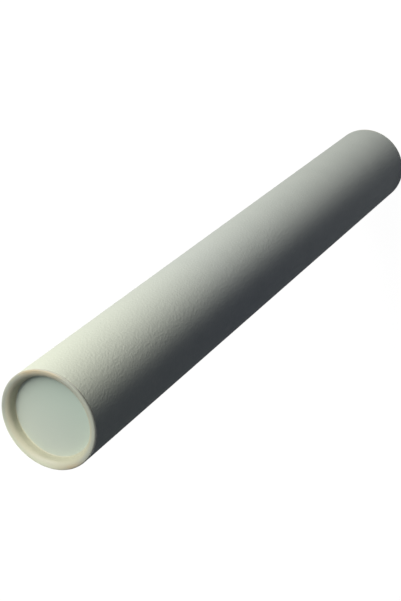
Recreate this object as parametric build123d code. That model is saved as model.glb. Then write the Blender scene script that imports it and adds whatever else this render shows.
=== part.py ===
from build123d import *
import os
from math import cos, radians, sin, tan

# Document tube: a wound paperboard tube, closed at each end by a push-in moulded plastic cap.
# Millimetres. It stands on one end, with the tube's axis on Z and the lower rim on Z = 0.

# Paperboard tube
BORE_DIAMETER = 76.0
TUBE_WALL = 3.0
TUBE_LENGTH = 656.0
CUT_EDGE_BEVEL = 0.4

# End cap: the rim that lies on the tube's cut end, flush with its outside
RIM_THICKNESS = 2.2
RIM_OUTER_RADIUS = 1.2
RIM_OUTER_FLAT_COUNT = 3
RIM_LAND = 0.5
RIM_MOUTH_RADIUS = 5.0
RIM_MOUTH_FLAT_COUNT = 6

# End cap: the panel, sunk below the rim behind a drafted wall that rolls over into the rim
RECESS_DEPTH = 8.3
RECESS_DRAFT = 8.0
RECESS_CORNER_RADIUS = 0.8
RECESS_CORNER_FLAT_COUNT = 2
PANEL_THICKNESS = 1.2

# End cap: the thin plug that goes into the bore, and the barbs around it that grip the bore
PLUG_WALL = 1.0
PLUG_DEPTH = 18.0
GROOVE_WIDTH = 0.6
BARB_COUNT = 2
BARB_HEIGHT = 0.5
BARB_CLEARANCE = 0.1

# Radii and heights that follow from the sizes above
bore_radius = BORE_DIAMETER / 2
tube_radius = bore_radius + TUBE_WALL
tube_base = RIM_THICKNESS
tube_top = tube_base + TUBE_LENGTH
barb_radius = bore_radius - BARB_CLEARANCE
plug_radius = barb_radius - BARB_HEIGHT
plug_inner_radius = plug_radius - PLUG_WALL
rim_round = min(RIM_OUTER_RADIUS, 0.8 * RIM_THICKNESS)
draft = radians(RECESS_DRAFT)
wall_width = PANEL_THICKNESS / cos(draft)
recess_radius = plug_inner_radius - GROOVE_WIDTH - wall_width
panel_face = RIM_THICKNESS - RECESS_DEPTH
panel_back = panel_face - PANEL_THICKNESS


def paperboard_tube():
    """The open tube, with the edges of its sawn ends broken by a small bevel."""
    bevel = min(CUT_EDGE_BEVEL, 0.3 * TUBE_WALL)
    with BuildPart() as tube:
        with BuildSketch():
            Circle(tube_radius)
            Circle(bore_radius, mode=Mode.SUBTRACT)
        extrude(amount=TUBE_LENGTH)
        cut_edges = tube.edges().filter_by(GeomType.CIRCLE)
        chamfer(cut_edges, length=bevel)
    return tube.part


def rounded(centre_x, centre_y, radius, start, end, flats):
    """Points along an arc, which becomes short flats from one angle to the other."""
    turns = [radians(start + (end - start) * i / flats) for i in range(flats + 1)]
    return [(centre_x + radius * cos(turn), centre_y + radius * sin(turn)) for turn in turns]


def wall_radius(height):
    """The radius of the recess's drafted wall at a height above the rim's seat."""
    return recess_radius + height * tan(draft)


def recess_points():
    """The sunk panel's face and its drafted wall, rounded below into the panel and above into the rim."""
    spread = 1 / cos(draft) - tan(draft)
    corner_round = min(RECESS_CORNER_RADIUS, 0.25 * RECESS_DEPTH)
    corner_x = wall_radius(panel_face) - corner_round * spread
    corner_y = panel_face + corner_round
    corner = rounded(corner_x, corner_y, corner_round, -90, -RECESS_DRAFT, RECESS_CORNER_FLAT_COUNT)
    room = tube_radius - rim_round - RIM_LAND - wall_radius(RIM_THICKNESS)
    mouth_round = min(RIM_MOUTH_RADIUS, room / spread, 0.7 * RECESS_DEPTH)
    mouth_x = wall_radius(RIM_THICKNESS) + mouth_round * spread
    mouth_y = RIM_THICKNESS - mouth_round
    mouth = rounded(mouth_x, mouth_y, mouth_round, 180 - RECESS_DRAFT, 90, RIM_MOUTH_FLAT_COUNT)
    return [(0, panel_face)] + corner + mouth


def rim_points():
    """The rim's rounded outer edge, down to its flat seat on the tube's cut end."""
    edge_x = tube_radius - rim_round
    edge_y = RIM_THICKNESS - rim_round
    return rounded(edge_x, edge_y, rim_round, 90, 0, RIM_OUTER_FLAT_COUNT) + [(tube_radius, 0)]


def plug_points():
    """The plug's outside: saw-tooth barbs, each sloping in towards the tip."""
    pitch = PLUG_DEPTH / BARB_COUNT
    points = []
    for i in range(BARB_COUNT):
        points += [(barb_radius, -i * pitch), (plug_radius, -(i + 1) * pitch)]
    return points


def inside_points():
    """The plug's straight inside, the groove between it and the recess's wall, and the back of the panel."""
    groove_end = -PANEL_THICKNESS
    points = [(plug_inner_radius, -PLUG_DEPTH)]
    if panel_back < groove_end:
        points += [(plug_inner_radius, groove_end), (wall_radius(groove_end) + wall_width, groove_end)]
        points += [(wall_radius(panel_back) + wall_width, panel_back)]
    else:
        points += [(plug_inner_radius, panel_back)]
    return points + [(0, panel_back)]


def end_cap():
    """One cap, turned about Z from half its section, with Z = 0 where its rim lies on the tube."""
    outline = recess_points() + rim_points() + plug_points() + inside_points()
    with BuildPart() as cap:
        with BuildSketch(Plane.XZ):
            with BuildLine():
                Polyline(*outline, close=True)
            make_face()
        revolve(axis=Axis.Z)
    return cap.part


tube = Pos(0, 0, tube_base) * paperboard_tube()
cap = end_cap()
top_end_cap = Pos(0, 0, tube_top) * cap
bottom_end_cap = Pos(0, 0, tube_base) * Rot(180, 0, 0) * cap

os.makedirs("parts", exist_ok=True)
export_step(tube, "parts/tube.step")
export_step(top_end_cap, "parts/top_end_cap.step")
export_step(bottom_end_cap, "parts/bottom_end_cap.step")
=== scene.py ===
from math import cos, hypot, pi, radians, sin, tan

import bmesh
import bpy
from mathutils import Matrix, Vector


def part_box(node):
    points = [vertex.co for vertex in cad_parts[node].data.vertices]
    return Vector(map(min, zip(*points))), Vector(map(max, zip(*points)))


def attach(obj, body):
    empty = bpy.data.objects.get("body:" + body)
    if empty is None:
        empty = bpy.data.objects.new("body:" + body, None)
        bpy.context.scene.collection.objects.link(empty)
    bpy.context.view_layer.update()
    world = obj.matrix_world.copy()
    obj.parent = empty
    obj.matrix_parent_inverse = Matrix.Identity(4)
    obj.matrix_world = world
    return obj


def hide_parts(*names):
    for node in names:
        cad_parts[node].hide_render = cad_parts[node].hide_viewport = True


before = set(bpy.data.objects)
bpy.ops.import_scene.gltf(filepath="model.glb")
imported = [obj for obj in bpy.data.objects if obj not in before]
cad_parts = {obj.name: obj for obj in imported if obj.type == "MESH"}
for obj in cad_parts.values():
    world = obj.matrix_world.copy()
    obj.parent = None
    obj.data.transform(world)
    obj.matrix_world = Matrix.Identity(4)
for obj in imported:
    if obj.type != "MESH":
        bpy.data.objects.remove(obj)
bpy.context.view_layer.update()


# The paperboard tube: strips of grey-brown board glued and wound on a 76 mm mandrel, with a smooth white
# liner as the last ply. It is sawn to length, so the plies show on the two cut ends.
MM = 0.001
tube_low, tube_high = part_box("tube")
TUBE_RADIUS = tube_high[0]
TUBE_BASE = tube_low[2]
TUBE_TOP = tube_high[2]
BOARD_THICKNESS = 3.0 * MM
BORE_RADIUS = TUBE_RADIUS - BOARD_THICKNESS
SAWN_EDGE_BEVEL = 0.4 * MM
ROUND_STEPS = 192


def edit_only(piece):
    """Opens one piece for editing, with nothing else selected and nothing selected in it."""
    bpy.ops.object.select_all(action="DESELECT")
    bpy.context.view_layer.objects.active = piece
    piece.select_set(True)
    bpy.ops.object.mode_set(mode="EDIT")
    bpy.ops.mesh.select_mode(type="EDGE")
    bpy.ops.mesh.select_all(action="DESELECT")


def select_rings(piece, rings):
    """Selects the edges that lie along the given rings, each a radius and a height about the tube's axis."""
    bpy.ops.mesh.select_all(action="DESELECT")
    mesh = bmesh.from_edit_mesh(piece.data)
    slack = 0.02 * MM
    for edge in mesh.edges:
        for radius, height in rings:
            places = [(hypot(v.co.x, v.co.y) - radius, v.co.z - height) for v in edge.verts]
            if all(abs(out) < slack and abs(up) < slack for out, up in places):
                edge.select_set(True)
    bmesh.update_edit_mesh(piece.data)


def select_end_faces(piece):
    """Selects the faces that look straight up or down."""
    bpy.ops.mesh.select_all(action="DESELECT")
    bpy.ops.mesh.select_mode(type="FACE")
    mesh = bmesh.from_edit_mesh(piece.data)
    for face in mesh.faces:
        face.select_set(abs(face.normal.z) > 0.9)
    bmesh.update_edit_mesh(piece.data)


bpy.ops.object.select_all(action="DESELECT")
bpy.ops.mesh.primitive_cylinder_add(
    vertices=ROUND_STEPS,
    radius=TUBE_RADIUS,
    depth=TUBE_TOP - TUBE_BASE,
    location=(0, 0, (TUBE_TOP + TUBE_BASE) / 2),
)
bpy.ops.object.transform_apply(location=True)
wound_tube = bpy.context.object
wound_tube.name = "wound_tube"
bore_rings = [(BORE_RADIUS, end) for end in (TUBE_BASE, TUBE_TOP)]
outer_rings = [(TUBE_RADIUS, end) for end in (TUBE_BASE, TUBE_TOP)]
edit_only(wound_tube)
select_end_faces(wound_tube)
bpy.ops.mesh.inset(thickness=BOARD_THICKNESS)
bpy.ops.mesh.delete(type="FACE")
bpy.ops.mesh.select_mode(type="EDGE")
select_rings(wound_tube, bore_rings)
bpy.ops.mesh.bridge_edge_loops()
select_rings(wound_tube, bore_rings + outer_rings)
bpy.ops.mesh.bevel(offset=SAWN_EDGE_BEVEL, segments=2)
bpy.ops.mesh.select_all(action="SELECT")
bpy.ops.mesh.normals_make_consistent(inside=False)
bpy.ops.object.mode_set(mode="OBJECT")


def smooth_rounds(piece):
    """Shades the rounds smooth, with the normals kept square on the large faces beside them."""
    bpy.ops.object.shade_smooth_by_angle(angle=radians(30))
    weighted = piece.modifiers.new("weighted_normals", "WEIGHTED_NORMAL")
    weighted.weight = 100
    weighted.keep_sharp = True
    bpy.ops.object.modifier_apply(modifier=weighted.name)


smooth_rounds(wound_tube)


def linear(hex_colour):
    """Turns an sRGB hex colour into the linear colour that a shader takes."""
    parts = [int(hex_colour[i:i + 2], 16) / 255 for i in (0, 2, 4)]
    return [c / 12.92 if c <= 0.04045 else ((c + 0.055) / 1.055) ** 2.4 for c in parts] + [1.0]


def add_node(tree, kind, inputs=(), **settings):
    """Adds a node. An input is a plain value, or the node and the output that feed it."""
    node = tree.nodes.new("ShaderNode" + kind)
    for name, value in settings.items():
        setattr(node, name, value)
    for socket, value in dict(inputs).items():
        if isinstance(value, tuple) and isinstance(value[0], bpy.types.Node):
            tree.links.new(value[0].outputs[value[1]], node.inputs[socket])
        else:
            node.inputs[socket].default_value = value
    return node


def new_material(name):
    """Starts a material with an empty tree of nodes."""
    material = bpy.data.materials.new(name)
    material.use_nodes = True
    material.node_tree.nodes.clear()
    return material, material.node_tree


def add_places(tree):
    """Adds the place of each point on the piece, and its distance from the tube's axis."""
    place = add_node(tree, "TexCoord")
    flat_place = add_node(tree, "VectorMath", {0: (place, "Object"), 1: (1, 1, 0)}, operation="MULTIPLY")
    from_axis = add_node(tree, "VectorMath", {0: (flat_place, "Vector")}, operation="LENGTH")
    return place, from_axis


# Bleached liner paper over grey-brown board, which shows on the sawn ends and in the bore. The paper is
# matt, with soft clouds in its white, and is drawn yellower and lighter towards the upper end: the yellow
# tint is the paper's own, the extra lightness is painted light. Its tooth breaks up the edge of the shade.
# A real tooth is too fine to show, so it is drawn several times as coarse.
LINER_WHITE = "E4E8E0"
LINER_CLOUD = "DADFD7"
# Yellower and partly painted light: lighter than the liner's white, used towards the upper end.
LINER_YELLOWED_AND_LIT = "ECF0DE"
BOARD_BROWN = "A89A82"
BOARD_PALE = "BDB19B"
LINER_THICKNESS = 0.12 * MM
PLY_THICKNESS = 0.45 * MM
CLOUD_SIZE = 28 * MM
YELLOWING_AND_LIGHT_LENGTH = 240 * MM
TOOTH_SIZE = 1.6 * MM
TOOTH_STRETCH = 1.4
TOOTH_HEIGHT = 0.27 * MM

liner_paper, tree = new_material("bleached liner paper on grey board")
place, from_axis = add_places(tree)
clouds = add_node(tree, "TexNoise", {"Vector": (place, "Object"), "Scale": 1 / CLOUD_SIZE, "Detail": 4.0})
fresh_colour = add_node(
    tree, "MixRGB",
    {"Fac": (clouds, "Fac"), "Color1": linear(LINER_WHITE), "Color2": linear(LINER_CLOUD)},
)
axes = add_node(tree, "SeparateXYZ", {"Vector": (place, "Object")})
# Towards the upper end the liner turns yellower, with painted light making it lighter as well.
yellowing_and_painted_light = add_node(
    tree, "MapRange",
    {"Value": (axes, "Z"), "From Min": TUBE_TOP - YELLOWING_AND_LIGHT_LENGTH, "From Max": TUBE_TOP},
)
liner_colour = add_node(
    tree, "MixRGB",
    {"Fac": (yellowing_and_painted_light, "Result"), "Color1": (fresh_colour, "Color"), "Color2": linear(LINER_YELLOWED_AND_LIT)},
)
plies = add_node(
    tree, "Math",
    {0: (from_axis, "Value"), 1: 2 * pi / PLY_THICKNESS},
    operation="MULTIPLY",
)
ply_wave = add_node(tree, "Math", {0: (plies, "Value")}, operation="SINE")
ply_shade = add_node(
    tree, "MapRange",
    {"Value": (ply_wave, "Value"), "From Min": -1.0, "From Max": 1.0},
)
board_colour = add_node(
    tree, "MixRGB",
    {"Fac": (ply_shade, "Result"), "Color1": linear(BOARD_BROWN), "Color2": linear(BOARD_PALE)},
)
on_liner = add_node(
    tree, "Math",
    {0: (from_axis, "Value"), 1: TUBE_RADIUS - LINER_THICKNESS},
    operation="GREATER_THAN",
)
paper_colour = add_node(
    tree, "MixRGB",
    {"Fac": (on_liner, "Value"), "Color1": (board_colour, "Color"), "Color2": (liner_colour, "Color")},
)
tooth_place = add_node(
    tree, "VectorMath",
    {0: (place, "Object"), 1: (1, 1, 1 / TOOTH_STRETCH)},
    operation="MULTIPLY",
)
tooth = add_node(
    tree, "TexNoise",
    {"Vector": (tooth_place, "Vector"), "Scale": 1 / TOOTH_SIZE, "Detail": 2.0, "Roughness": 0.5},
)
tooth_bump = add_node(
    tree, "Bump",
    {"Height": (tooth, "Fac"), "Distance": TOOTH_HEIGHT, "Strength": 1.0},
)
paper_shader = add_node(
    tree, "BsdfPrincipled",
    {
        "Base Color": (paper_colour, "Color"),
        "Roughness": 0.8,
        "Specular IOR Level": 0.02,
        "Normal": (tooth_bump, "Normal"),
    },
)
add_node(tree, "OutputMaterial", {"Surface": (paper_shader, "BSDF")})
wound_tube.data.materials.append(liner_paper)
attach(wound_tube, "tube")
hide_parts("tube")


# The upper end cap: one soft plastic moulding. Its rim lies on the sawn end and rolls over into the wall
# of a sunk panel, and behind a narrow groove a thin plug with two barbed rings grips the bore.
cap_low, cap_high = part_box("top_end_cap")
RIM_RADIUS = cap_high[0]
RIM_TOP = cap_high[2]
SEAT = TUBE_TOP
PLUG_TIP = cap_low[2]
RIM_ROUND = 1.2 * MM
SEAT_EDGE_ROUND = 0.35 * MM
MOUTH_ROUND = 5.0 * MM
RECESS_DRAFT = radians(8)
RECESS_DEPTH = 8.3 * MM
PANEL_CORNER_ROUND = 0.8 * MM
PANEL_THICKNESS = 1.2 * MM
GROOVE_WIDTH = 0.6 * MM
PLUG_WALL = 1.0 * MM
BARB_COUNT = 2
BARB_HEIGHT = 0.5 * MM
BARB_CLEARANCE = 0.1 * MM
barb_radius = BORE_RADIUS - BARB_CLEARANCE
plug_outer = barb_radius - BARB_HEIGHT
plug_inner = plug_outer - PLUG_WALL
panel_face = RIM_TOP - RECESS_DEPTH
panel_back = panel_face - PANEL_THICKNESS
groove_end = SEAT - PANEL_THICKNESS
wall_width = PANEL_THICKNESS / cos(RECESS_DRAFT)
wall_at_seat = plug_inner - GROOVE_WIDTH - wall_width
mouth_corner = wall_at_seat + (RIM_TOP - SEAT) * tan(RECESS_DRAFT)
panel_edge = wall_at_seat + (panel_face - SEAT) * tan(RECESS_DRAFT)
groove_top_edge = wall_at_seat + (groove_end - SEAT) * tan(RECESS_DRAFT) + wall_width
groove_foot = wall_at_seat + (panel_back - SEAT) * tan(RECESS_DRAFT) + wall_width
barb_pitch = (SEAT - PLUG_TIP) / BARB_COUNT

bpy.ops.object.select_all(action="DESELECT")
bpy.ops.mesh.primitive_circle_add(
    vertices=ROUND_STEPS, radius=panel_edge, fill_type="NGON", location=(0, 0, panel_face)
)
bpy.ops.object.transform_apply(location=True)
top_cap_moulding = bpy.context.object
top_cap_moulding.name = "top_cap_moulding"
cap_rings = [(mouth_corner, RIM_TOP), (RIM_RADIUS, RIM_TOP), (RIM_RADIUS, SEAT)]
for i in range(BARB_COUNT):
    cap_rings.append((barb_radius, SEAT - i * barb_pitch))
    cap_rings.append((plug_outer, SEAT - (i + 1) * barb_pitch))
cap_rings.append((plug_inner, PLUG_TIP))
cap_rings.append((plug_inner, groove_end))
cap_rings.append((groove_top_edge, groove_end))
cap_rings.append((groove_foot, panel_back))
edit_only(top_cap_moulding)
ring_radius = panel_edge
ring_height = panel_face
select_rings(top_cap_moulding, [(ring_radius, ring_height)])
for radius, height in cap_rings:
    bpy.ops.mesh.extrude_region_move(TRANSFORM_OT_translate={"value": (0, 0, height - ring_height)})
    bpy.ops.transform.resize(
        value=(radius / ring_radius, radius / ring_radius, 1), center_override=(0, 0, height)
    )
    ring_radius = radius
    ring_height = height
bpy.ops.mesh.edge_face_add()
bpy.ops.mesh.select_all(action="SELECT")
bpy.ops.mesh.normals_make_consistent(inside=False)
# A round starts away from its corner by its radius times the tangent of half the turn there.
wall_turn = pi / 2 - RECESS_DRAFT
select_rings(top_cap_moulding, [(RIM_RADIUS, RIM_TOP)])
bpy.ops.mesh.bevel(offset=RIM_ROUND, segments=8)
select_rings(top_cap_moulding, [(RIM_RADIUS, SEAT)])
bpy.ops.mesh.bevel(offset=SEAT_EDGE_ROUND, segments=2)
select_rings(top_cap_moulding, [(mouth_corner, RIM_TOP)])
bpy.ops.mesh.bevel(offset=MOUTH_ROUND * tan(wall_turn / 2), segments=12)
select_rings(top_cap_moulding, [(panel_edge, panel_face)])
bpy.ops.mesh.bevel(offset=PANEL_CORNER_ROUND * tan(wall_turn / 2), segments=4)
bpy.ops.object.mode_set(mode="OBJECT")
smooth_rounds(top_cap_moulding)

# Low-density polyethylene, white and a little waxy. Moulded, so it has a soft satin gloss and a very slight
# orange peel. The panel is painted darker on one side as shade, and the wall is painted cream on one side
# and darker elsewhere, as light and shade. The rim is greyed by handling, painted cream on one side as
# light, tan where thumb and fingers grip it, and painted white on a part of its side as light.
PANEL_WHITE = "C4CCBF"
# Painted shade: the panel's darker side.
PANEL_PAINTED_SHADE = "B2C0B4"
WALL_CREAM = "D9D5BA"
# Painted shade: the wall's darker colour, used away from its cream side.
WALL_PAINTED_SHADE = "B2B09A"
# Painted light: the rim's lighter, cream side.
RIM_PAINTED_LIGHT = "DADCC4"
RIM_HANDLED = "ACAFA1"
GRIP_TAN = "BBAD8F"
# Painted light: the white on the lit part of the rim's side.
SIDE_PAINTED_LIGHT = "DDDFD2"
WALL_STARTS = 32.8 * MM
WALL_BLEND = 0.8 * MM
RIM_STARTS = 36.4 * MM
RIM_BLEND = 2.0 * MM
SIDE_BLEND = 0.15 * MM
PANEL_BLEND = 22 * MM
WAX_CLOUD_SIZE = 18 * MM
GRIP_CLOUDS = (0.3, 0.6)
ORANGE_PEEL_SIZE = 1.6 * MM
ORANGE_PEEL_HEIGHT = 0.03 * MM
# The way that each patch of colour lies from the axis, and along it where the patch starts and is full.
# The wall, rim and side patches place painted light and shade; the thumb and fingers patches place grip tan.
PATCH_TOWARDS = {
    "wall": radians(66),
    "rim": radians(102),
    "thumb": radians(150),
    "fingers": radians(330),
    "side": radians(308),
}
PATCH_REACH = {
    "wall": (14 * MM, 38 * MM),
    "rim": (18 * MM, 37.5 * MM),
    "thumb": (30 * MM, 39 * MM),
    "fingers": (30 * MM, 39 * MM),
    "side": (30 * MM, 37 * MM),
}

cap_plastic, tree = new_material("white moulded polyethylene")
place, from_axis = add_places(tree)
ways = {}
patches = {}
for name, towards in PATCH_TOWARDS.items():
    start, full = PATCH_REACH[name]
    ways[name] = add_node(
        tree, "VectorMath",
        {0: (place, "Object"), 1: (cos(towards), sin(towards), 0)},
        operation="DOT_PRODUCT",
    )
    patches[name] = add_node(
        tree, "MapRange",
        {"Value": (ways[name], "Value"), "From Min": start, "From Max": full},
        interpolation_type="SMOOTHSTEP",
    )
# Painted shade: the panel is drawn darker across it, away from the rim's painted light.
panel_light_side = add_node(
    tree, "MapRange",
    {"Value": (ways["rim"], "Value"), "From Min": -PANEL_BLEND, "From Max": PANEL_BLEND},
)
panel_colour = add_node(
    tree, "MixRGB",
    {"Fac": (panel_light_side, "Result"), "Color1": linear(PANEL_PAINTED_SHADE), "Color2": linear(PANEL_WHITE)},
)
# Painted light and shade: the wall is cream on one side and darker elsewhere.
wall_colour = add_node(
    tree, "MixRGB",
    {"Fac": (patches["wall"], "Result"), "Color1": linear(WALL_PAINTED_SHADE), "Color2": linear(WALL_CREAM)},
)
wax_clouds = add_node(
    tree, "TexNoise",
    {"Vector": (place, "Object"), "Scale": 1 / WAX_CLOUD_SIZE, "Detail": 3.0},
)
grip = add_node(
    tree, "Math",
    {0: (patches["thumb"], "Result"), 1: (patches["fingers"], "Result")},
    operation="MAXIMUM",
)
gripped = add_node(
    tree, "MapRange",
    {
        "Value": (wax_clouds, "Fac"),
        "From Min": GRIP_CLOUDS[0],
        "From Max": GRIP_CLOUDS[1],
        "To Max": (grip, "Value"),
    },
)
handled_colour = add_node(
    tree, "MixRGB",
    {"Fac": (gripped, "Result"), "Color1": linear(RIM_HANDLED), "Color2": linear(GRIP_TAN)},
)
# Painted light: the rim turns cream on one side.
rim_colour = add_node(
    tree, "MixRGB",
    {"Fac": (patches["rim"], "Result"), "Color1": (handled_colour, "Color"), "Color2": linear(RIM_PAINTED_LIGHT)},
)
on_wall = add_node(
    tree, "MapRange",
    {"Value": (from_axis, "Value"), "From Min": WALL_STARTS, "From Max": WALL_STARTS + WALL_BLEND},
)
recess_colour = add_node(
    tree, "MixRGB",
    {"Fac": (on_wall, "Result"), "Color1": (panel_colour, "Color"), "Color2": (wall_colour, "Color")},
)
on_rim = add_node(
    tree, "MapRange",
    {"Value": (from_axis, "Value"), "From Min": RIM_STARTS, "From Max": RIM_STARTS + RIM_BLEND},
)
face_colour = add_node(
    tree, "MixRGB",
    {"Fac": (on_rim, "Result"), "Color1": (recess_colour, "Color"), "Color2": (rim_colour, "Color")},
)
# Painted light: the rim's side turns white on its lit part.
on_lit_side = add_node(
    tree, "MapRange",
    {
        "Value": (from_axis, "Value"),
        "From Min": RIM_RADIUS - SIDE_BLEND,
        "From Max": RIM_RADIUS,
        "To Max": (patches["side"], "Result"),
    },
)
cap_colour = add_node(
    tree, "MixRGB",
    {"Fac": (on_lit_side, "Result"), "Color1": (face_colour, "Color"), "Color2": linear(SIDE_PAINTED_LIGHT)},
)
orange_peel = add_node(
    tree, "TexNoise",
    {"Vector": (place, "Object"), "Scale": 1 / ORANGE_PEEL_SIZE, "Detail": 1.0},
)
cap_bump = add_node(
    tree, "Bump",
    {"Height": (orange_peel, "Fac"), "Distance": ORANGE_PEEL_HEIGHT, "Strength": 1.0},
)
cap_shader = add_node(
    tree, "BsdfPrincipled",
    {
        "Base Color": (cap_colour, "Color"),
        "Roughness": 0.46,
        "IOR": 1.51,
        "Normal": (cap_bump, "Normal"),
    },
)
add_node(tree, "OutputMaterial", {"Surface": (cap_shader, "BSDF")})
top_cap_moulding.data.materials.append(cap_plastic)
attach(top_cap_moulding, "top_cap")
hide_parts("top_end_cap")


# The lower end cap: the same moulding, pushed into the other end of the tube the other way up.
# It is out of sight in the photograph, and the tube stands on its rim here.
bpy.ops.object.select_all(action="DESELECT")
bottom_cap_moulding = top_cap_moulding.copy()
bottom_cap_moulding.data = top_cap_moulding.data.copy()
bottom_cap_moulding.name = "bottom_cap_moulding"
bpy.context.collection.objects.link(bottom_cap_moulding)
bpy.context.view_layer.objects.active = bottom_cap_moulding
bottom_cap_moulding.select_set(True)
bpy.ops.transform.rotate(value=pi, orient_axis="X", center_override=(0, 0, (TUBE_BASE + TUBE_TOP) / 2))
bpy.ops.object.transform_apply(location=True, rotation=True, scale=True)
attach(bottom_cap_moulding, "bottom_cap")
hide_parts("bottom_end_cap")


# The floor: a sheet of white studio paper that the tube stands on. The camera and reflections see it
# as white with the tube's shadow faint on it, and it throws little light back at the object.
FLOOR_SIZE = 12.0
FLOOR_WHITE = "FFFFFF"
FLOOR_GLOW = 0.975
FLOOR_SHADOW = "454545"
FLOOR_BOUNCE = "747478"


def add_seen(tree):
    """Adds the test for a ray from the camera, a reflection or glass, and not one that lights a piece."""
    ray = add_node(tree, "LightPath")
    seen = add_node(
        tree, "Math", {0: (ray, "Is Camera Ray"), 1: (ray, "Is Glossy Ray")}, operation="MAXIMUM"
    )
    return add_node(
        tree, "Math", {0: (seen, "Value"), 1: (ray, "Is Transmission Ray")}, operation="MAXIMUM"
    )


bpy.ops.object.select_all(action="DESELECT")
bpy.ops.mesh.primitive_plane_add(size=FLOOR_SIZE, location=(0, 0, 0))
floor = bpy.context.object
floor.name = "studio_floor"
floor_paper, tree = new_material("white studio paper")
seen = add_seen(tree)
bounce = add_node(tree, "BsdfDiffuse", {"Color": linear(FLOOR_BOUNCE)})
glow = add_node(tree, "Emission", {"Color": linear(FLOOR_WHITE), "Strength": FLOOR_GLOW})
shadowed = add_node(tree, "BsdfDiffuse", {"Color": linear(FLOOR_SHADOW)})
white_floor = add_node(tree, "AddShader", {0: (glow, "Emission"), 1: (shadowed, "BSDF")})
floor_shader = add_node(
    tree, "MixShader",
    {"Fac": (seen, "Value"), 1: (bounce, "BSDF"), 2: (white_floor, "Shader")},
)
add_node(tree, "OutputMaterial", {"Surface": (floor_shader, "Shader")})
floor.data.materials.append(floor_paper)


# The room: a large pale studio around the floor. The camera and reflections see it as white, and it
# throws a dim bluish light into the shade.
ROOM_WHITE = "FFFFFF"
ROOM_BLUE = "C7D6FF"
ROOM_LEVEL = 0.0594

room = bpy.data.worlds.new("pale room")
bpy.context.scene.world = room
room.use_nodes = True
tree = room.node_tree
tree.nodes.clear()
seen = add_seen(tree)
room_light = add_node(tree, "Background", {"Color": linear(ROOM_BLUE), "Strength": ROOM_LEVEL})
room_white = add_node(tree, "Background", {"Color": linear(ROOM_WHITE), "Strength": 1.0})
room_shader = add_node(
    tree, "MixShader",
    {"Fac": (seen, "Value"), 1: (room_light, "Background"), 2: (room_white, "Background")},
)
add_node(tree, "OutputWorld", {"Surface": (room_shader, "Shader")})


# The lamps: two soft boxes. A tall one stands on the tube's right and above it. A small one behind the tube
# lights the side away from the camera, and stands below the rim, so that none of its light falls straight on
# the upper cap's face.
LAMP_WHITE = "FFFFFA"
TALL_AZIMUTH = radians(-18.4)
TALL_ELEVATION = radians(36)
TALL_DISTANCE = 1.55
TALL_AIM_HEIGHT = -0.2
TALL_SIZE = (0.82, 1.52)
TALL_WATTS = 35.0
BACK_AZIMUTH = radians(92)
BACK_DISTANCE = 1.6
BACK_HEIGHT = 0.33
BACK_SIZE = (0.5, 0.5)
BACK_WATTS = 16.0


def add_soft_box(name, azimuth, distance, height, aim_height, size, watts):
    """Adds a soft box at a distance from the tube's axis, turned to face a point on that axis."""
    stand = Vector((distance * cos(azimuth), distance * sin(azimuth), height))
    aim = Vector((0, 0, aim_height)) - stand
    bpy.ops.object.light_add(type="AREA", location=stand)
    lamp = bpy.context.object
    lamp.name = name
    lamp.rotation_euler = aim.to_track_quat("-Z", "Y").to_euler()
    lamp.data.shape = "RECTANGLE"
    lamp.data.size = size[0]
    lamp.data.size_y = size[1]
    lamp.data.energy = watts
    lamp.data.color = linear(LAMP_WHITE)[:3]


add_soft_box(
    "soft_box",
    TALL_AZIMUTH,
    distance=TALL_DISTANCE * cos(TALL_ELEVATION),
    height=RIM_TOP + TALL_DISTANCE * sin(TALL_ELEVATION),
    aim_height=TALL_AIM_HEIGHT,
    size=TALL_SIZE,
    watts=TALL_WATTS,
)
add_soft_box(
    "back_soft_box",
    BACK_AZIMUTH,
    distance=BACK_DISTANCE,
    height=BACK_HEIGHT,
    aim_height=BACK_HEIGHT,
    size=BACK_SIZE,
    watts=BACK_WATTS,
)


# The camera: it looks down on the upper end and is rolled, so that the standing tube lies across the
# picture as the photographed one does.
CAMERA_PLACE = (-0.0013, -0.7188, 1.4208)
CAMERA_DOWN = radians(54.48)
CAMERA_ROLL = radians(-128.69)
LENS_MM = 84.406
SENSOR_MM = 36.0

bpy.ops.object.camera_add(location=CAMERA_PLACE)
camera = bpy.context.object
camera.name = "photo_camera"
camera_turn = Matrix.Rotation(pi / 2 - CAMERA_DOWN, 4, "X") @ Matrix.Rotation(CAMERA_ROLL, 4, "Z")
camera.rotation_euler = camera_turn.to_euler()
camera.data.lens = LENS_MM
camera.data.sensor_width = SENSOR_MM
bpy.context.scene.camera = camera
bpy.context.scene.view_settings.view_transform = "Standard"
